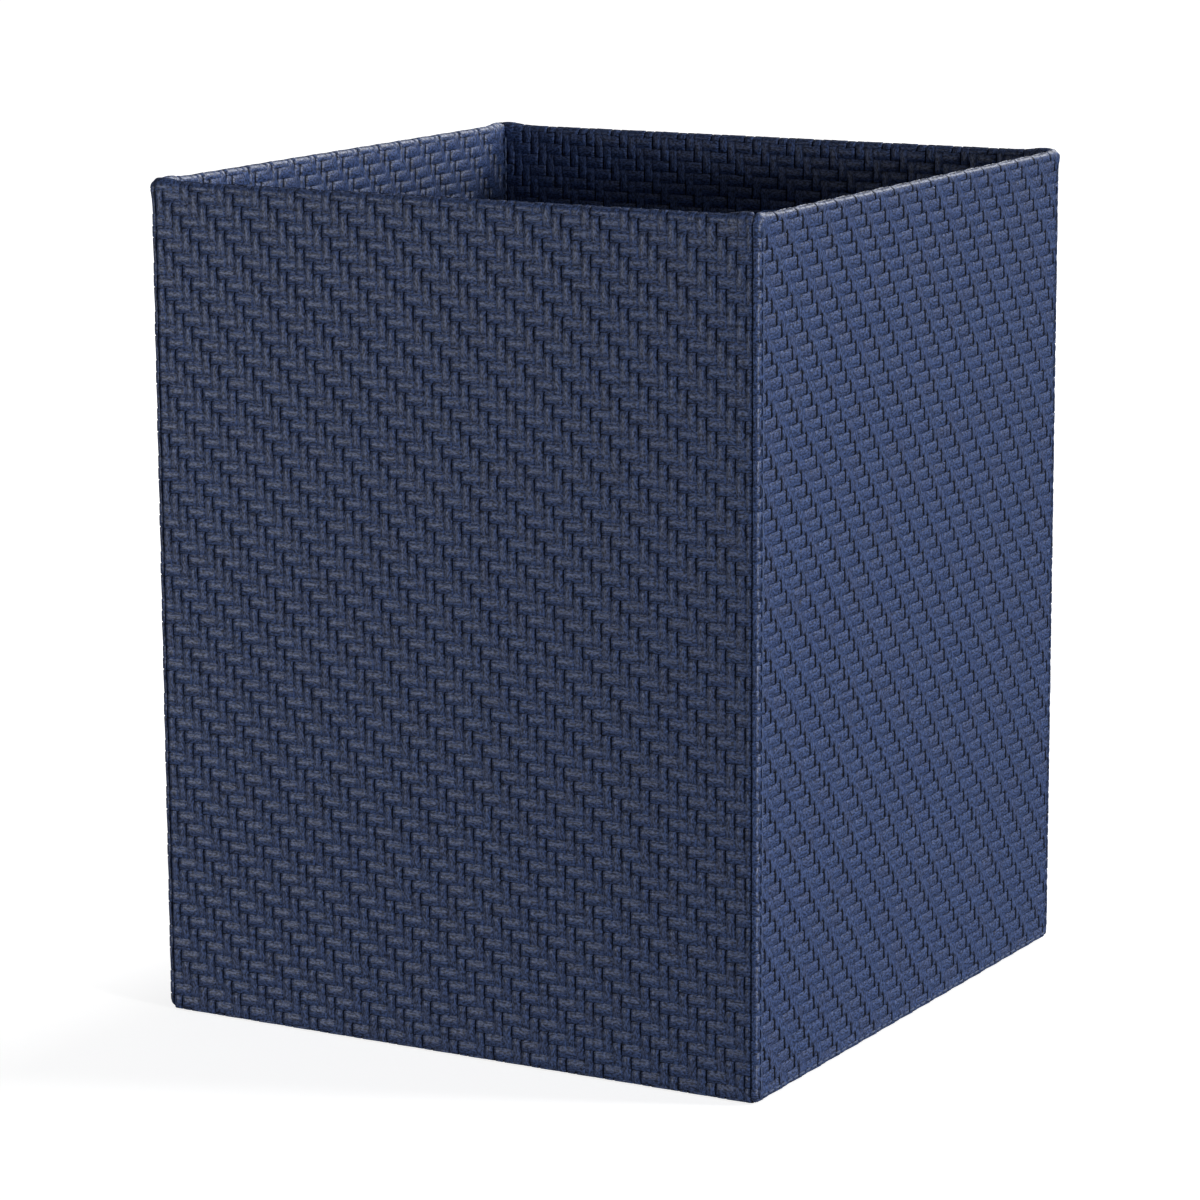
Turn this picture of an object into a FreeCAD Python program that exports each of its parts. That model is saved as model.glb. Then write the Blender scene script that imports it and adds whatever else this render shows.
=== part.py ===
import FreeCAD, Part
import os

# Square open-topped storage bin, in mm.
# Origin at the middle of the underside, +Z up, front panel at -Y, right panel at +X.

# Whole bin
WIDTH = 305.0
DEPTH = 305.0
HEIGHT = 381.0

# Wall panels: a stiff board in a folded cover
WALL = 6.0
SKIN = 1.2
EDGE_FLANGE = 2.7
CORNER_GAP = 0.3
RIM_ROLL = 2.9
SIDE_ROLL = 2.4
FOOT_ROLL = 1.8
SIDE_TOP_CORNER = 7.0

# Boards inside the covers
BOARD_TOP_DROP = 3.2
SIDE_BOARD_INSET = 9.0
SIDE_BOARD_LIFT = 5.5
FRONT_BOARD_INSET = 3.5
FRONT_BOARD_LIFT = 2.4

# Sewing thread
THREAD = 0.8
THREAD_SINK = 0.6
THREAD_SLACK = 0.1
TOPSTITCH_INSET = 3.5
TOPSTITCH_LIFT = 3.2
TOPSTITCH_TOP_DROP = 5.5
SEAM_TOP_DROP = 3.5

# Sewn-in bottom, and the loose base insert that lies on it
BOTTOM_CLOTH = 1.2
INSERT_SIDE = 289.0
INSERT_THICK = 4.8
INSERT_CORNER = 4.0
INSERT_EDGE_ROLL = 1.6
INSERT_BOARD_SIDE = 276.0
INSERT_BOARD_THICK = 2.4
INSERT_STITCH_INSET = 3.2

HALF_W = WIDTH / 2
HALF_D = DEPTH / 2
INNER_W = HALF_W - WALL
INNER_D = HALF_D - WALL
FRONT_HALF_W = HALF_W - EDGE_FLANGE - CORNER_GAP
THICK_HALF_D = INNER_D - CORNER_GAP


def block(low, high):
    """A box from its low corner to its high corner."""
    size = [b - a for a, b in zip(low, high)]
    return Part.makeBox(size[0], size[1], size[2], FreeCAD.Vector(*low))


def rolled(shape, radius, test):
    """The shape with every edge rounded whose points all pass the test."""
    chosen = []
    for edge in shape.Edges:
        first, last = edge.FirstParameter, edge.LastParameter
        points = [edge.valueAt(first + (last - first) * k / 4) for k in range(5)]
        if all(test(p) for p in points):
            chosen.append(edge)
    return shape.makeFillet(radius, chosen)


def near(a, b):
    return abs(a - b) < 0.01


def turned(shape):
    """The same shape on the opposite side of the bin."""
    copy = shape.copy()
    copy.rotate(FreeCAD.Vector(0, 0, 0), FreeCAD.Vector(0, 0, 1), 180)
    return copy


def front_board():
    """Stiff board of the front panel."""
    half = FRONT_HALF_W - FRONT_BOARD_INSET
    low = (-half, -HALF_D + SKIN, FRONT_BOARD_LIFT)
    high = (half, -INNER_D - SKIN, HEIGHT - BOARD_TOP_DROP)
    return block(low, high)


def front_cover():
    """Folded cover of the front panel, closed all round its board."""
    body = block((-FRONT_HALF_W, -HALF_D, 0), (FRONT_HALF_W, -INNER_D, HEIGHT))
    body = rolled(body, RIM_ROLL, lambda p: near(p.z, HEIGHT) and not -HALF_D < p.y < -INNER_D)
    body = rolled(body, FOOT_ROLL, lambda p: near(p.z, 0) and near(p.y, -HALF_D))
    return body.cut(front_board())


def right_board():
    """Stiff board of the right panel."""
    half = HALF_D - SIDE_BOARD_INSET
    low = (INNER_W + SKIN, -half, SIDE_BOARD_LIFT)
    high = (HALF_W - SKIN, half, HEIGHT - BOARD_TOP_DROP)
    return block(low, high)


def right_cover():
    """Folded cover of the right panel; its flanges reach past the board and hide its neighbours' ends."""
    body = block((INNER_W, -HALF_D, 0), (HALF_W, HALF_D, HEIGHT))
    body = rolled(body, SIDE_TOP_CORNER, lambda p: near(p.z, HEIGHT) and near(abs(p.y), HALF_D))
    for end in (-1, 1):
        ends = sorted((end * THICK_HALF_D, end * (HALF_D + 1)))
        notch = block((INNER_W - 1, ends[0], -1), (HALF_W - EDGE_FLANGE, ends[1], HEIGHT + 1))
        body = body.cut(notch)
    body = rolled(body, SIDE_ROLL, lambda p: near(p.x, HALF_W))
    body = rolled(body, RIM_ROLL, lambda p: near(p.x, INNER_W) and p.z > HEIGHT - 1)
    return body.cut(right_board()).cut(stitch_frame(THREAD_SLACK))


def stitch_frame(slack):
    """Sewing line down both upright edges and along the foot of the right panel."""
    reach = HALF_D - TOPSTITCH_INSET
    half = THREAD / 2 + slack
    top = HEIGHT - TOPSTITCH_TOP_DROP + slack
    x_low = HALF_W - THREAD_SINK
    outer = block((x_low, -reach - half, TOPSTITCH_LIFT - half), (HALF_W + slack, reach + half, top))
    inner = block((x_low - 1, -reach + half, TOPSTITCH_LIFT + half), (HALF_W + 1, reach - half, top + 1))
    return outer.cut(inner)


def right_topstitch():
    """The thread in that sewing line, flush with the cover."""
    return stitch_frame(0)


def back_right_seam():
    """Thread that joins the back and right panels along their inside corner."""
    low = (INNER_W - THREAD, INNER_D - THREAD, BOTTOM_CLOTH + THREAD)
    high = (INNER_W, INNER_D, HEIGHT - SEAM_TOP_DROP)
    return block(low, high)


def bottom_cloth():
    """Cloth sewn in between the four panels' feet."""
    return block((-INNER_W, -INNER_D, 0), (INNER_W, INNER_D, BOTTOM_CLOTH))


def bottom_seam():
    """Thread all round the bottom cloth."""
    top = BOTTOM_CLOTH + THREAD
    outer = block((-INNER_W, -INNER_D, BOTTOM_CLOTH), (INNER_W, INNER_D, top))
    inner = block((-INNER_W + THREAD, -INNER_D + THREAD, 0), (INNER_W - THREAD, INNER_D - THREAD, top + 1))
    return outer.cut(inner)


def insert_board():
    """Stiff board of the base insert."""
    half = INSERT_BOARD_SIDE / 2
    low = BOTTOM_CLOTH + (INSERT_THICK - INSERT_BOARD_THICK) / 2
    return block((-half, -half, low), (half, half, low + INSERT_BOARD_THICK))


def insert_stitch(slack):
    """Sewing line round the insert, just outside its board."""
    reach = INSERT_SIDE / 2 - INSERT_STITCH_INSET
    half = THREAD / 2 + slack
    top = BOTTOM_CLOTH + INSERT_THICK
    low = top - THREAD_SINK
    outer = block((-reach - half, -reach - half, low), (reach + half, reach + half, top))
    inner = block((-reach + half, -reach + half, low - 1), (reach - half, reach - half, top + 1))
    return outer.cut(inner)


def insert_cover():
    """Folded cover of the base insert, closed all round its board."""
    half = INSERT_SIDE / 2
    top = BOTTOM_CLOTH + INSERT_THICK
    body = block((-half, -half, BOTTOM_CLOTH), (half, half, top))
    body = rolled(body, INSERT_CORNER, lambda p: near(abs(p.x), half) and near(abs(p.y), half))
    body = rolled(body, INSERT_EDGE_ROLL, lambda p: near(p.z, top) or near(p.z, BOTTOM_CLOTH))
    return body.cut(insert_board()).cut(insert_stitch(THREAD_SLACK))


def mirrored(shape, normal):
    """The shape reflected through a plane through the middle of the bin."""
    return shape.mirror(FreeCAD.Vector(0, 0, 0), FreeCAD.Vector(*normal))


def all_parts():
    """Every piece of the bin, by name."""
    parts = {}
    parts["front_board"] = front_board()
    parts["back_board"] = turned(front_board())
    parts["right_board"] = right_board()
    parts["left_board"] = turned(right_board())
    parts["front_cover"] = front_cover()
    parts["back_cover"] = turned(front_cover())
    parts["right_cover"] = right_cover()
    parts["left_cover"] = turned(right_cover())
    parts["right_topstitch"] = right_topstitch()
    parts["left_topstitch"] = turned(right_topstitch())
    parts["back_right_seam"] = back_right_seam()
    parts["front_left_seam"] = turned(back_right_seam())
    parts["back_left_seam"] = mirrored(back_right_seam(), (1, 0, 0))
    parts["front_right_seam"] = mirrored(back_right_seam(), (0, 1, 0))
    parts["bottom_cloth"] = bottom_cloth()
    parts["bottom_seam"] = bottom_seam()
    parts["base_insert_board"] = insert_board()
    parts["base_insert_cover"] = insert_cover()
    parts["base_insert_topstitch"] = insert_stitch(0)
    return parts


os.makedirs("parts", exist_ok=True)
for name, shape in all_parts().items():
    shape.exportStep("parts/" + name + ".step")
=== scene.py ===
import math
import bpy
import numpy as np
from mathutils import Matrix, Vector


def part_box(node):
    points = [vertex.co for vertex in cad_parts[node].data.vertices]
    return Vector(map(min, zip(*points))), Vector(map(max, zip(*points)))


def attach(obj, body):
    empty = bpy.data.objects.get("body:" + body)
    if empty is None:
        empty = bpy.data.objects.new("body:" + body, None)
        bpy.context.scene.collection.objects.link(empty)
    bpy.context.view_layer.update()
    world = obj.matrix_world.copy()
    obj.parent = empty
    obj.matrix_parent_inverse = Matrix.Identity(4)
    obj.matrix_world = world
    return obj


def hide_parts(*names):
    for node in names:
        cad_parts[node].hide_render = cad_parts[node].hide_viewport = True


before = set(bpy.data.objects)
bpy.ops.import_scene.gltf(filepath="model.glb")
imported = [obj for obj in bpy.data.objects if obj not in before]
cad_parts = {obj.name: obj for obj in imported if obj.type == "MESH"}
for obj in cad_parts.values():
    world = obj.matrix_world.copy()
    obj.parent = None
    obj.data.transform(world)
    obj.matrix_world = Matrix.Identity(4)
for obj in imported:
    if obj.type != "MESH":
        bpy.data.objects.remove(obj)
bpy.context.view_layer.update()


# ---------------------------------------------------------------- leathercloth
# The cloth all the covers are cut from: a coated cloth embossed to look like flat strands
# woven two over, two under. It is navy all through, satin on the strands' crowns, with a
# crackled grain along each strand. Painted shade darkens the creases where one strand goes under another.

STRAND = 0.00462  # pitch of the upright strands
ROW = 0.00544  # pitch of the level strands
RELIEF = 0.0011  # depth of the gaps between strands
CREASE = {False: 0.17, True: 0.26}  # width of a crease beside an upright strand, in strands, by turned
LEDGE = {False: 0.03, True: 0.2}  # how much farther its shade reaches
WANDER = 0.00013  # how far strands stray from straight
RIM_ROW = 0.00056  # where row 0 begins, below the crest of the rim
chance = np.random.default_rng(884)
float_tone = chance.random((331, 337))
float_lift = chance.random((331, 337))


def climb(t, width, start):
    """start at the edge, t = 0, rising straight to 1 at t = width."""
    return start + (1 - start) * np.clip(t / width, 0, 1)


def floats(u, s, turned=False):
    """Height from 0 in a crease to 1 on a crown, the painted light there (its low values are painted
    shade that darkens the colour), whether the strand on top is a level one, and that float's own tone.
    u counts columns and s rows: a level float covers the 2 columns where (column - row) mod 4 is 0 and
    1, an upright one the 2 rows where it is 3 and then 2. Each is high at its first end and sinks to its
    last. A crease runs down an upright's far side and under a level float's high end; painted shade lies
    in it, reaches farther beside it on the turned cloth, and darkens the floats' ends. turned is the
    same cloth the other way up."""
    if turned:
        u, s = 1 - u, -s
    # which strand is on top, and how far along and across it this is
    column, row = np.floor(u).astype(int), np.floor(s).astype(int)
    place = (column - row) % 4
    level = place < 2
    along = np.where(level, (u - column + place) / 2, (s - row + 3 - place) / 2)
    across = np.where(level, s - row, u - column)
    across = np.where(level & turned, 1 - across, across)
    first = np.where(level, (column - place) * 2, column * 2 + 1) % float_tone.shape[0]
    second = np.where(level, row, row - 3 + place) % float_tone.shape[1]
    top = np.where(level, 1 - 0.3 * along, 0.9 - 0.36 * along) - 0.1 * float_lift[first, second]
    tip = 0.035
    ends = climb(along, tip, np.where(level, 0.0, 0.35))
    ends = ends * climb(1 - along, tip, np.where(level, 0.65, 0.5))
    crease = np.where(level, 0.05 + 0.6 * along, 0.6 * np.clip((along - 0.45) / 0.3, 0, 1))
    width, ledge = np.where(level, 0.08, CREASE[turned]), np.where(level, 0, LEDGE[turned])
    height = top * ends * climb(across, 0.08, 0.55) * climb(1 - across, width, crease)
    # painted shade: light drops in each crease and toward each float's ends, and darkens the colour there
    open_side = climb(1 - across - ledge, width, np.where(along < 0.62, crease, 1) if turned else crease)
    light = open_side * climb(along, tip, np.where(level, 0.0, 0.8)) * climb(1 - along, 0.14, 0.6)
    return height, light, level, float_tone[first, second]


def weave(u, s, turned=False):
    """The lowest height of the strands that meet at each point, and the least painted light."""
    near = 1e-3
    corners = [floats(u + a * near, s + b * near, turned) for a in (-1, 1) for b in (-1, 1)]
    return np.minimum.reduce([c[0] for c in corners]), np.minimum.reduce([c[1] for c in corners])


def columns(turned):
    """Where the mesh cuts each column: at the creases, and once on the crown."""
    return (0, 0.1, 0.26, 0.6, 0.93) if turned else (0, 0.07, 0.4, 0.8, 0.93)


def lines(low, high, pitch, start, cuts=(0, 0.08, 0.5, 0.92)):
    """Grid lines from low to high, at the same cuts of every strand; strand 0 begins at start."""
    first, last = int(np.floor((low - start) / pitch)) - 1, int(np.ceil((high - start) / pitch)) + 1
    every = start + pitch * (np.arange(first, last)[:, None] + np.array(cuts)).ravel()
    inside = every[(every > low + pitch * 0.04) & (every < high - pitch * 0.04)]
    return np.concatenate([[low], inside, [high]])


def wander(u, s, seed):
    """The strands' slow wobble in metres: sines of u and s with the seed's own directions and phases."""
    turn = np.random.default_rng(seed).random((6, 4)) * 6.28
    out = np.zeros(np.broadcast(u, s).shape)
    for k, (heading, phase, _, _) in enumerate(turn):
        going = u * math.cos(heading) + s * math.sin(heading)
        out = out + np.sin(going * (90 + 60 * k) + phase) / (1 + 0.4 * k)
    return out * WANDER


def cloth_mesh(name, points, u, s, light, material, body, flip=False):
    """A mesh on the grid of points, u by s. It carries the cloth's own coordinates in metres, the painted
    light at each point (its low values darken the colour as painted shade), and for each face its
    strand's tone and whether that strand is level."""
    across, down = points.shape[:2]
    index = np.arange(across * down).reshape(across, down)
    quads = np.stack([index[:-1, :-1], index[1:, :-1], index[1:, 1:], index[:-1, 1:]], axis=-1)
    quads = quads.reshape(-1, 4)
    if flip:
        quads = quads[:, ::-1]
    mesh = bpy.data.meshes.new(name)
    mesh.vertices.add(across * down)
    mesh.vertices.foreach_set("co", points.reshape(-1).astype(np.float32))
    mesh.loops.add(quads.size)
    mesh.loops.foreach_set("vertex_index", quads.ravel().astype(np.int32))
    mesh.polygons.add(len(quads))
    mesh.polygons.foreach_set("loop_start", np.arange(0, quads.size, 4, dtype=np.int32))
    mesh.update(calc_edges=True)
    flat = np.stack([np.broadcast_to(v, (across, down)) for v in (u, s)], axis=-1).reshape(-1, 2)
    uv_map = mesh.uv_layers.new(name="cloth")
    uv_map.data.foreach_set("uv", flat[quads.ravel()].ravel().astype(np.float32))
    painted_light_attribute = mesh.attributes.new("open", "FLOAT", "POINT")
    painted_light_attribute.data.foreach_set("value", light.ravel().astype(np.float32))
    middle = flat[quads].mean(axis=1)
    _, _, level, tone = floats(middle[:, 0] / STRAND, middle[:, 1] / ROW)
    mesh.attributes.new("tone", "FLOAT", "FACE").data.foreach_set("value", tone.astype(np.float32))
    mesh.attributes.new("level", "FLOAT", "FACE").data.foreach_set("value", level.astype(np.float32))
    mesh.polygons.foreach_set("use_smooth", np.ones(len(quads), bool))
    mesh.materials.append(material)
    piece = bpy.data.objects.new(name, mesh)
    bpy.context.scene.collection.objects.link(piece)
    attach(piece, body)
    return piece


def node(tree, kind, inputs=None, **settings):
    """A shader node with its settings and its sockets' constant values or links."""
    made = tree.nodes.new(kind)
    for key, value in settings.items():
        setattr(made, key, value)
    for key, value in (inputs or {}).items():
        if isinstance(value, bpy.types.NodeSocket):
            tree.links.new(value, made.inputs[key])
        else:
            made.inputs[key].default_value = value
    return made


def leathercloth():
    """Navy embossed leathercloth, satin on its crowns, with painted shade darkening its creases."""
    material = bpy.data.materials.new("Navy leathercloth")
    material.use_nodes = True
    tree = material.node_tree
    shader = tree.nodes["Principled BSDF"]
    cloth = node(tree, "ShaderNodeUVMap", uv_map="cloth").outputs["UV"]
    painted_light_attribute = node(tree, "ShaderNodeAttribute", attribute_name="open").outputs["Fac"]
    tone = node(tree, "ShaderNodeAttribute", attribute_name="tone").outputs["Fac"]
    level = node(tree, "ShaderNodeAttribute", attribute_name="level").outputs["Fac"]
    # the crackle is drawn out along the strand on top
    stretch = node(tree, "ShaderNodeMix", {0: level, 4: (1150, 620, 1), 5: (620, 1150, 1)},
                   data_type="VECTOR")
    drawn = node(tree, "ShaderNodeVectorMath", {0: cloth, 1: stretch.outputs[1]}, operation="MULTIPLY")
    crackle = node(tree, "ShaderNodeTexNoise",
                   {"Vector": drawn.outputs[0], "Scale": 1.0, "Detail": 3.0, "Roughness": 0.62})
    crackle = crackle.outputs["Fac"]
    # each strand has its own navy, and a slow cloudiness runs over all of them
    own = node(tree, "ShaderNodeValToRGB", {"Fac": tone})
    own.color_ramp.elements[0].color = (0.022, 0.046, 0.138, 1)
    own.color_ramp.elements[1].color = (0.029, 0.050, 0.132, 1)
    own.color_ramp.elements.new(0.55).color = (0.026, 0.053, 0.148, 1)
    own = own.outputs["Color"]
    cloud = node(tree, "ShaderNodeTexNoise", {"Vector": cloth, "Scale": 38.0, "Detail": 2.0})
    clouded = node(tree, "ShaderNodeMix", {0: cloud.outputs["Fac"], 6: own, 7: (0.031, 0.052, 0.136, 1)},
                   data_type="RGBA")
    navy = node(tree, "ShaderNodeMix", {0: 0.35, 6: own, 7: clouded.outputs[2]}, data_type="RGBA")
    # painted shade darkens the creases, and the crackle's high spots are worn pale
    painted_crease_shade = node(tree, "ShaderNodeMapRange",
               {"Value": painted_light_attribute, "From Min": 0.2, "From Max": 0.75, "To Min": 0.05, "To Max": 1.0},
               interpolation_type="SMOOTHSTEP")
    shaded = node(tree, "ShaderNodeVectorMath", {0: navy.outputs[2], "Scale": painted_crease_shade.outputs["Result"]},
                  operation="SCALE")
    worn = node(tree, "ShaderNodeMapRange",
                {"Value": crackle, "From Min": 0.4, "From Max": 0.6, "To Min": 0.3, "To Max": 1.8})
    grained = node(tree, "ShaderNodeVectorMath", {0: shaded.outputs[0], "Scale": worn.outputs["Result"]},
                   operation="SCALE")
    tree.links.new(grained.outputs[0], shader.inputs["Base Color"])
    # the satin finish follows the crackle too, and doesn't reach into the creases, where the painted
    # shade is
    finish = node(tree, "ShaderNodeMapRange",
                  {"Value": crackle, "From Min": 0.4, "From Max": 0.6, "To Min": 0.45, "To Max": 1.0})
    satin = node(tree, "ShaderNodeMath", {0: finish.outputs["Result"], 1: painted_crease_shade.outputs["Result"]},
                 operation="MULTIPLY")
    tree.links.new(satin.outputs[0], shader.inputs["Coat Weight"])
    bump = node(tree, "ShaderNodeBump", {"Height": crackle, "Strength": 0.9, "Distance": 0.0014})
    tree.links.new(bump.outputs["Normal"], shader.inputs["Normal"])
    shader.inputs["Roughness"].default_value = 0.6
    shader.inputs["Specular IOR Level"].default_value = 0.1
    shader.inputs["Coat Roughness"].default_value = 0.48
    shader.inputs["Coat IOR"].default_value = 1.6
    return material


cover_cloth = leathercloth()


# ------------------------------------------------------- front and back covers
# Each is one folded cloth round its board: an outer leaf with its rolled rim, and an inner
# leaf. Its upright ends turn in behind the side panels' flanges, where they are sewn.

low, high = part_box("front_cover")
half_width, height = high.x, high.z
face, wall = -low.y, high.y - low.y
RIM = wall / 2


def over_rim(s):
    """Depth behind the outer face, height, and the outward direction, s metres of cloth from the
    crest of the rim, down the outer leaf (s > 0) or the inner one (s < 0): a half circle of radius
    RIM, then straight down."""
    turn = np.clip(s / RIM, -math.pi / 2, math.pi / 2)
    straight = np.maximum(np.abs(s) - RIM * math.pi / 2, 0)
    depth = RIM - RIM * np.sin(turn)
    up = height - RIM + RIM * np.cos(turn) - straight
    return depth, up, np.sin(turn), np.cos(turn)


def softly(x, a, b):
    """0 below a, 1 above b and smooth between."""
    t = np.clip((x - a) / (b - a), 0, 1)
    return t * t * (3 - 2 * t)


def folded_leaf(turned, inner, half, turn, end_roll, foot_roll, seed):
    """One leaf of a cover that is folded over its rim, seen face on. half is its half width and turn
    how much cloth its ends turn in. Columns count from the left end and rows from the crest, on both
    leaves alike; the cloth is the other way up on the inner leaf, because it comes over the rim.
    Returns right, depth, up, the cloth coordinates and the painted light, whose low values are painted
    shade, and the flat size."""
    length = RIM * math.pi / 2 + height - RIM
    u = lines(-half - turn, half + turn, STRAND, -half, columns(turned))[:, None]
    s = lines(0, length - 0.0003, ROW, RIM_ROW)[None, :]
    if inner:
        s = -lines(0, length - 0.0003, ROW, ROW - RIM_ROW)[None, :]
    relief, light = weave((u + half) / STRAND, (s - RIM_ROW) / ROW, turned)
    depth, up, out, rise = over_rim(s)
    edge = half - np.abs(u)
    past = np.clip(end_roll - edge, 0, None) if turn else 0 * u
    angle = np.clip(past / max(end_roll, 1e-6), 0, math.pi / 2)
    right = np.where(past > 0, np.sign(u) * (half - end_roll + end_roll * np.sin(angle)), u)
    fall = end_roll * (1 - np.cos(angle)) + np.clip(past - end_roll * math.pi / 2, 0, None)
    tuck = np.clip(foot_roll - up, 0, foot_roll)
    foot = foot_roll - np.sqrt(np.maximum(foot_roll**2 - tuck**2, 0))
    # the rim is pulled smooth, and bulges where the cloth is folded in at its ends
    bulge = np.exp(-(((edge - 0.004) / 0.0075) ** 2)) * np.exp(-((s / 0.0075) ** 2))
    calm = (1 - 0.35 * np.exp(-((s / 0.0035) ** 2))) * (1 - 0.8 * bulge)
    if turn:
        calm = calm * (0.35 + 0.65 * softly(edge, 0.0, 0.0022))
    lift = -RELIEF * (1 - relief) * calm + bulge * 0.0011
    shift = wander(u, s, seed) * softly(edge, 0.0, 0.004)
    lag = wander(u, s, seed + 50) * softly(np.abs(s), 0.002, 0.01) * softly(up, 0.0, 0.01)
    depth = depth + fall * np.abs(out) + foot * (1 if out.max() > 0 else -1) - lift * out
    up = up + lift * rise + lag - fall * rise
    # painted light: the weave's painted crease shade, eased where the cloth is pulled smooth
    shown = 1 - (1 - light) * np.clip(calm, 0, 1)
    if turn:  # the seam beside the flange is a groove, and painted shade darkens it
        shown = shown * (0.15 + 0.85 * softly(edge, -0.0004, 0.0014))
    flat = (float(np.ptp(u)), float(np.ptp(s)))
    return np.broadcast_arrays(right + shift, depth, up, u + half, s - RIM_ROW + 0 * u, shown), flat


def stand(points, facing):
    """(right, depth, up) as seen face on, put on the wall that faces that way."""
    right, depth, up = points
    x, y = {"front": (right, depth - face), "back": (-right, face - depth),
            "right": (face - depth, right), "left": (depth - face, -right)}[facing]
    return np.stack([x, y, up], axis=-1)


for facing in ("front", "back"):
    for inner in (False, True):
        turn, end_roll, foot_roll = (0.0, 0.0, 0.0) if inner else (0.0016, 0.0011, 0.0018)
        seed = 3 if facing == "front" else 11
        (right, depth, up, u, s, shown), flat = folded_leaf(
            inner == (facing == "front"), inner, half_width, turn, end_roll, foot_roll, seed)
        side = "inner" if inner else "outer"
        leaf = cloth_mesh(f"{facing}_cover_{side}_leaf", stand((right, depth, up), facing),
                          u, s, shown, cover_cloth, "walls", flip=not inner)
        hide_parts(facing + "_cover")


# ----------------------------------------------------------------- side covers
# The side panels run the bin's full depth. Their covers reach past the boards as flanges that
# hide the ends of the front and back panels, and their top corners are rounded. The outer
# leaf turns in round all four edges and is topstitched down both upright ones and the foot.

EDGE_ROLL = 0.0026
CORNERS = (0.0042, 0.005)  # radius of the lower corners and of the upper ones
STITCH_IN = 0.0035  # the sewing line's distance from the edge
depth_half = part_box("right_cover")[1].y
inner_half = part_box("back_cover")[0].y - 0.0003


def rounded_sheet(a, b, half, low, high, roll, corner, straight):
    """A flat sheet a by b laid over a slab with rounded corners and rolled edges. A point that is m
    past the corner's centre, along its larger axis, goes m out from it: along the face to the roll,
    then r sin(t) on and r (1 - cos(t)) deep, then straight in. Returns the place across, the place
    up, the depth, the outward direction and t."""
    upper = b > (low + high) / 2
    bend = np.where(upper, corner[1], corner[0]) - roll
    dx = np.maximum(np.abs(a) - (half - roll - bend), 0)
    dy = np.where(upper, np.maximum(b - (high - roll - bend), 0), np.maximum(low + roll + bend - b, 0))
    far, span = np.maximum(dx, dy), np.maximum(np.hypot(dx, dy), 1e-12)
    nx, ny = np.sign(a) * dx / span, np.where(upper, 1, -1) * dy / span
    past = np.maximum(far - bend, 0)
    angle = np.clip(past / roll, 0, math.pi / 2)
    reach = np.minimum(far, bend) + roll * np.sin(angle)
    flat_a = np.where(dx > 0, np.sign(a) * (half - roll - bend), a)
    flat_b = np.where(dy > 0, np.where(upper, high - roll - bend, low + roll + bend), b)
    deep = roll * (1 - np.cos(angle)) + np.minimum(np.maximum(past - roll * math.pi / 2, 0), straight)
    return flat_a + nx * reach, flat_b + ny * reach, deep, nx, ny, angle


for facing in ("right", "left"):
    seed = 23 if facing == "right" else 31
    straight = RIM - EDGE_ROLL
    wrap = EDGE_ROLL * math.pi / 2 + straight
    turned = facing == "right"
    span = depth_half - EDGE_ROLL + wrap
    a = lines(-span, span, STRAND, -inner_half, columns(turned))[:, None]
    s = lines(0, height - 2 * EDGE_ROLL + 2 * wrap - 0.0004, ROW, RIM_ROW)[None, :]
    b = height - EDGE_ROLL + wrap - s
    relief, light = weave((a + inner_half) / STRAND + 0 * s, (s - RIM_ROW) / ROW + 0 * a, turned)
    right, up, deep, nx, ny, angle = rounded_sheet(
        a, b, depth_half, 0, height, EDGE_ROLL, CORNERS, straight)
    from_side = depth_half - np.abs(a)
    from_foot, from_top = b + 0 * a, height - b + 0 * a
    on_line = np.maximum(np.exp(-(((from_side - STITCH_IN) / 0.0006) ** 2)) + 0 * s,
                         np.exp(-(((from_foot - STITCH_IN + 0.0003) / 0.0006) ** 2)))
    past_line = STITCH_IN + 0.0016
    inside = softly(from_side, STITCH_IN, past_line) * softly(from_foot, STITCH_IN, past_line)
    bulge = np.exp(-(((from_side - 0.003) / 0.0062) ** 2)) * np.exp(-((from_top / 0.006) ** 2))
    calm = (0.7 + 0.3 * inside) * (1 - 0.35 * np.exp(-((s / 0.0035) ** 2))) * (1 - 0.8 * bulge)
    groove = 0.0005 * on_line * softly(from_top, 0.004, 0.006)
    lift = -RELIEF * (1 - relief) * calm - groove + bulge * 0.001
    shift = wander(a, s, seed) * softly(from_side, 0.001, 0.006)
    lag = wander(a, s, seed + 50) * softly(s, 0.004, 0.012) * softly(from_foot, 0.002, 0.01)
    points = stand((right + shift + lift * nx * np.sin(angle), deep - lift * np.cos(angle),
                    up + lag + lift * ny * np.sin(angle)), facing)
    # painted light for the outer leaf: the weave's painted crease shade, eased where the cloth is calm
    leaf = cloth_mesh(f"{facing}_cover_outer_leaf", points, a + inner_half, s - RIM_ROW,
                      1 - (1 - light) * calm, cover_cloth, "walls", flip=True)
    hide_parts(facing + "_cover")
    flat = (float(np.ptp(a)), float(np.ptp(s)))

    (right, depth, up, u, s, shown), flat = folded_leaf(not turned, True, inner_half, 0.0, 0.0, 0.0, seed)
    leaf = cloth_mesh(f"{facing}_cover_inner_leaf", stand((right, depth, up), facing),
                      u, s, shown, cover_cloth, "walls")
    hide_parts(facing + "_cover")


# ------------------------------------------------------------------ topstitching
# Polyester thread in short stitches, a little paler than the cloth. On each side panel it
# runs down both upright edges and along the foot, holding the folded edge of the cover shut.

STITCH = 0.0057  # pitch


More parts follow.
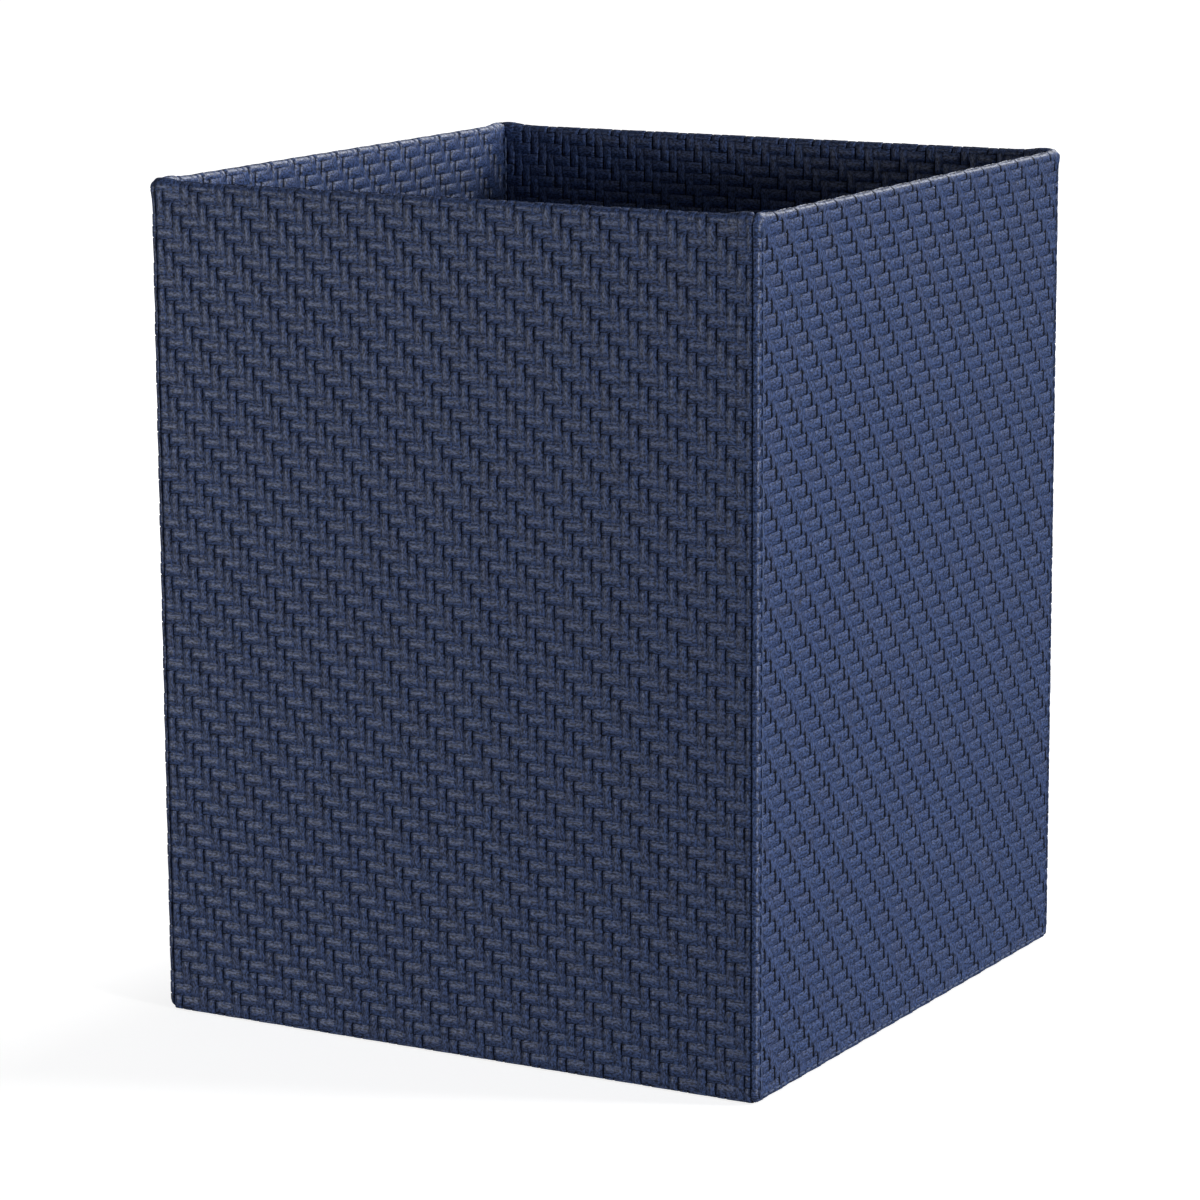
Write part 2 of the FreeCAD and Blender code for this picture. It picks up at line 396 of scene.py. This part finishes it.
def thread_material():
    """Matt twisted thread: a fine ripple and a soft sheen."""
    material = bpy.data.materials.new("Navy thread")
    material.use_nodes = True
    tree = material.node_tree
    shader = tree.nodes["Principled BSDF"]
    place = node(tree, "ShaderNodeTexCoord").outputs["Object"]
    twist = node(tree, "ShaderNodeTexNoise", {"Vector": place, "Scale": 2600.0, "Detail": 1.0})
    bump = node(tree, "ShaderNodeBump",
                {"Height": twist.outputs["Fac"], "Strength": 0.6, "Distance": 0.0001})
    tree.links.new(bump.outputs["Normal"], shader.inputs["Normal"])
    shader.inputs["Base Color"].default_value = (0.045, 0.075, 0.17, 1)
    shader.inputs["Roughness"].default_value = 0.6
    shader.inputs["Sheen Weight"].default_value = 0.2
    return material


sewing_thread = thread_material()


def stitches(name, starts, ends, outward, body, length=0.0043, thick=0.00042):
    """Stitches evenly along each straight run. Each is a six-sided thread along t in [-1, 1],
    arched by 0.3 mm (1 - t^2) and thinner at its ends."""
    t = np.array([-1.0, -0.82, -0.35, 0.35, 0.82, 1.0])
    size = np.array([0.25, 0.85, 1.0, 1.0, 0.85, 0.25]) * thick
    turn = np.arange(6) / 6 * 2 * math.pi
    every, quads = [], []
    ring = np.arange(5)[:, None] * 6 + np.arange(6)
    beside = np.arange(5)[:, None] * 6 + (np.arange(6) + 1) % 6
    one = np.stack([ring, beside, beside + 6, ring + 6], axis=-1).reshape(-1, 4)
    for start, end, out in zip(starts, ends, outward):
        start, end, out = (np.array(v, float) for v in (start, end, out))
        along = (end - start) / np.linalg.norm(end - start)
        count = max(1, int(np.linalg.norm(end - start) / STITCH))
        middles = start + (end - start) * ((np.arange(count) + 0.5) / count)[:, None]
        beside_it = np.cross(out, along)
        arch = (0.0003 * (1 - t**2) - 0.00012)[:, None]
        spine = along * (t * length / 2)[:, None] + out * arch
        rim = out * np.cos(turn)[:, None] + beside_it * np.sin(turn)[:, None]
        tube = spine[:, None, :] + rim[None] * size[:, None, None]
        every.append((middles[:, None, None, :] + tube[None]).reshape(-1, 3))
        base = sum(len(e) for e in every[:-1])
        quads.append((one[None] + base + np.arange(count)[:, None, None] * 36).reshape(-1, 4))
    mesh = bpy.data.meshes.new(name)
    mesh.from_pydata(np.concatenate(every).tolist(), [], np.concatenate(quads).tolist())
    mesh.polygons.foreach_set("use_smooth", np.ones(len(mesh.polygons), bool))
    mesh.materials.append(sewing_thread)
    piece = bpy.data.objects.new(name, mesh)
    bpy.context.scene.collection.objects.link(piece)
    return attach(piece, body)


for facing, sign in (("right", 1), ("left", -1)):
    x = sign * (face - 0.0001)
    reach, foot, top = depth_half - STITCH_IN, 0.0032, height - 0.0045
    rows_of = stitches(
        f"{facing}_topstitching",
        [(x, -reach, foot + 0.002), (x, reach, foot + 0.002), (x, -reach + 0.001, foot)],
        [(x, -reach, top), (x, reach, top), (x, reach - 0.001, foot)],
        [(sign, 0, 0)] * 3, "walls")
    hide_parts(facing + "_topstitch")


# ------------------------------------------------------------------- inside seams
# Stitches that join the panels down each inside corner, and join the bottom cloth to them all
# round. They are the same thread, pulled tight into the corner.

for name in ("front_left", "front_right", "back_left", "back_right"):
    low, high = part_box(name + "_seam")
    x, y = (low.x + high.x) / 2, (low.y + high.y) / 2
    out = np.array([-math.copysign(1, x), -math.copysign(1, y), 0]) / math.sqrt(2)
    seam = stitches(name + "_corner_stitches", [(x, y, low.z)], [(x, y, high.z - 0.002)], [out], "walls")
    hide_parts(name + "_seam")

low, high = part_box("bottom_seam")
reach, level_z = high.x - 0.0004, (low.z + high.z) / 2
turns = [(x, y, level_z) for x, y in ((-reach, -reach), (reach, -reach), (reach, reach), (-reach, reach))]
seam = stitches("bottom_stitches", turns, turns[1:] + turns[:1], [(0, 0, 1)] * 4, "walls", thick=0.0004)
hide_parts("bottom_seam")


# ------------------------------------------------------------------ bottom cloth
# A flat square of the same leathercloth, face down, sewn in between the feet of the walls.

low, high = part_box("bottom_cloth")
u = lines(low.x, high.x, STRAND, low.x, columns(False))[:, None]
s = lines(low.y, high.y, ROW, low.y)[None, :]
relief, light = weave((u - low.x) / STRAND + 0 * s, (s - low.y) / ROW + 0 * u)
under = np.stack(np.broadcast_arrays(u, s, low.z + RELIEF * (1 - relief)), axis=-1)
# light carries the weave's painted crease shade
cloth = cloth_mesh("bottom_cloth_sheet", under, u - low.x, s - low.y, light,
                   cover_cloth, "walls", flip=True)
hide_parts("bottom_cloth")


# ------------------------------------------------------------------- base insert
# A loose stiff square that lies on the bottom cloth and keeps the bin square: board in a
# folded leathercloth cover, topstitched round its edge. It lifts out by hand.

low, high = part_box("base_insert_cover")
half, thick = high.x, high.z - low.z
roll = thick / 2
wrap = roll * math.pi / 2
a = lines(-half + roll - wrap, half - roll + wrap, STRAND, -half, columns(False))[:, None]
s = lines(0, 2 * (half - roll + wrap), ROW, 0)[None, :]
b = half - roll + wrap - s
relief, light = weave((a + half) / STRAND + 0 * s, s / ROW + 0 * a)
corners = (0.005, 0.005)
right, up, deep, nx, ny, angle = rounded_sheet(a, b, half, -half, half, roll, corners, 0.0)
inward = half - np.maximum(np.abs(a) + 0 * s, np.abs(b) + 0 * a)
INSERT_STITCH_IN = 0.0032
on_line = np.exp(-(((inward - INSERT_STITCH_IN) / 0.0006) ** 2))
calm = 0.3 + 0.7 * softly(inward, INSERT_STITCH_IN, 0.0048)
lift = -RELIEF * (1 - relief) * calm - 0.0003 * on_line
points = np.stack([right + lift * nx * np.sin(angle), up + lift * ny * np.sin(angle),
                   high.z - deep + lift * np.cos(angle)], axis=-1)
# painted light: the weave's painted crease shade, eased near the edge where the cloth is calm
leaf = cloth_mesh("base_insert_upper_leaf", points, a + half, s, 1 - (1 - light) * calm,
                  cover_cloth, "base_insert", flip=True)
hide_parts("base_insert_cover")
flat = (float(np.ptp(a)), float(np.ptp(s)))

a = lines(-half + roll - wrap, half - roll + wrap, STRAND, -half, cuts=(0, 0.5))[:, None]
s = lines(0, 2 * (half - roll + wrap), ROW, 0, cuts=(0, 0.5))[None, :]
b = half - roll + wrap - s
right, up, deep, _, _, _ = rounded_sheet(a, b, half, -half, half, roll, corners, 0.0)
points = np.stack([right, up, low.z + deep], axis=-1)
leaf = cloth_mesh("base_insert_lower_leaf", points, a + half, s, np.ones_like(right),
                  cover_cloth, "base_insert")
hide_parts("base_insert_cover")
flat = (float(np.ptp(a)), float(np.ptp(s)))

reach, level_z = half - INSERT_STITCH_IN, high.z - 0.0003
turns = [(x, y, level_z) for x, y in ((-reach, -reach), (reach, -reach), (reach, reach), (-reach, reach))]
seam = stitches("base_insert_stitches", turns, turns[1:] + turns[:1], [(0, 0, 1)] * 4,
                "base_insert", thick=0.0004)
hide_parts("base_insert_topstitch")


# ------------------------------------------------------------------------- boards
# Grey board, die cut, in the four walls and the base insert. The covers hide all of it.


def grey_board():
    """Grey recycled board: specks and soft mottling."""
    material = bpy.data.materials.new("Grey board")
    material.use_nodes = True
    tree = material.node_tree
    shader = tree.nodes["Principled BSDF"]
    place = node(tree, "ShaderNodeTexCoord").outputs["Object"]
    fibre = node(tree, "ShaderNodeTexNoise",
                 {"Vector": place, "Scale": 900.0, "Detail": 4.0, "Roughness": 0.7})
    colour = node(tree, "ShaderNodeValToRGB", {"Fac": fibre.outputs["Fac"]})
    colour.color_ramp.elements[0].position, colour.color_ramp.elements[1].position = 0.35, 0.6
    colour.color_ramp.elements[0].color = (0.24, 0.21, 0.17, 1)
    colour.color_ramp.elements[1].color = (0.42, 0.39, 0.33, 1)
    tree.links.new(colour.outputs["Color"], shader.inputs["Base Color"])
    shader.inputs["Roughness"].default_value = 0.9
    return material


board = grey_board()
for name in ("front_board", "back_board", "left_board", "right_board", "base_insert_board"):
    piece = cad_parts[name]
    piece.data.materials.clear()
    piece.data.materials.append(board)
for name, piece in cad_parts.items():
    if not name.endswith("_board"):
        piece.data.materials.clear()
        piece.data.materials.append(sewing_thread if name.endswith(("stitch", "seam")) else cover_cloth)


# -------------------------------------------------------------------- the set
# A plain white sweep and soft light. The main light comes level from the right, so little of
# it reaches inside; a fill stands low at the left, and a light from behind picks out the rim.


def paper():
    material = bpy.data.materials.new("White sweep")
    material.use_nodes = True
    shader = material.node_tree.nodes["Principled BSDF"]
    shader.inputs["Base Color"].default_value = (0.8, 0.8, 0.8, 1)
    shader.inputs["Roughness"].default_value = 0.9
    shader.inputs["Emission Color"].default_value = (1, 1, 1, 1)
    shader.inputs["Emission Strength"].default_value = 0.78
    return material


floor_mesh = bpy.data.meshes.new("Floor")
floor_mesh.from_pydata([(-30, -30, 0), (30, -30, 0), (30, 30, 0), (-30, 30, 0)], [], [(0, 1, 2, 3)])
floor_mesh.materials.append(paper())
floor = bpy.data.objects.new("Floor", floor_mesh)
floor.location.z = -0.0005
floor.visible_diffuse = floor.visible_glossy = False
bpy.context.scene.collection.objects.link(floor)

world = bpy.data.worlds.new("Studio")
world.use_nodes = True
world.node_tree.nodes["Background"].inputs["Color"].default_value = (1, 1, 1, 1)
world.node_tree.nodes["Background"].inputs["Strength"].default_value = 0.12
bpy.context.scene.world = world
bpy.context.scene.view_settings.view_transform = "Standard"


def softbox(name, azimuth, elevation, distance, size, power):
    """An area light aimed at the bin's middle; azimuth 0 is in front, 90 on the right."""
    light = bpy.data.lights.new(name, "AREA")
    light.energy, light.size = power, size
    lamp = bpy.data.objects.new(name, light)
    bpy.context.scene.collection.objects.link(lamp)
    az, el = math.radians(azimuth), math.radians(elevation)
    out = Vector((math.sin(az) * math.cos(el), -math.cos(az) * math.cos(el), math.sin(el)))
    place = Matrix.Translation(Vector((0, 0, height / 2)) + out * distance)
    lamp.matrix_world = place @ out.to_track_quat("Z", "Y").to_matrix().to_4x4()
    return lamp


for name, azimuth, elevation, strength in (("Right", 80, 4, 2.5), ("Behind, right", 114, 24, 1.05)):
    lamp = softbox(name, azimuth, elevation, 8.0, 1.0, 1)
    lamp.data.type = "SUN"
    lamp.data.energy, lamp.data.angle = strength, math.radians(9)
softbox("Left fill", -34, 2, 2.4, 0.6, 17)
softbox("Behind", 172, 36, 4.0, 1.2, 80)

lens = bpy.data.cameras.new("Camera")
lens.lens, lens.sensor_width = 134.7, 36
camera = bpy.data.objects.new("Camera", lens)
bpy.context.scene.collection.objects.link(camera)
turned, raised, rolled = math.radians(29.574), math.radians(11.355), math.radians(-0.261)
camera.location = (1.001, -1.7818, 0.5892)
look = Vector((-math.sin(turned) * math.cos(raised), math.cos(turned) * math.cos(raised),
               -math.sin(raised)))
aim = look.to_track_quat("-Z", "Y").to_matrix().to_4x4()
camera.matrix_world = Matrix.Translation(camera.location) @ aim @ Matrix.Rotation(rolled, 4, "Z")
lens.clip_start, lens.clip_end = 0.05, 100
bpy.context.scene.camera = camera
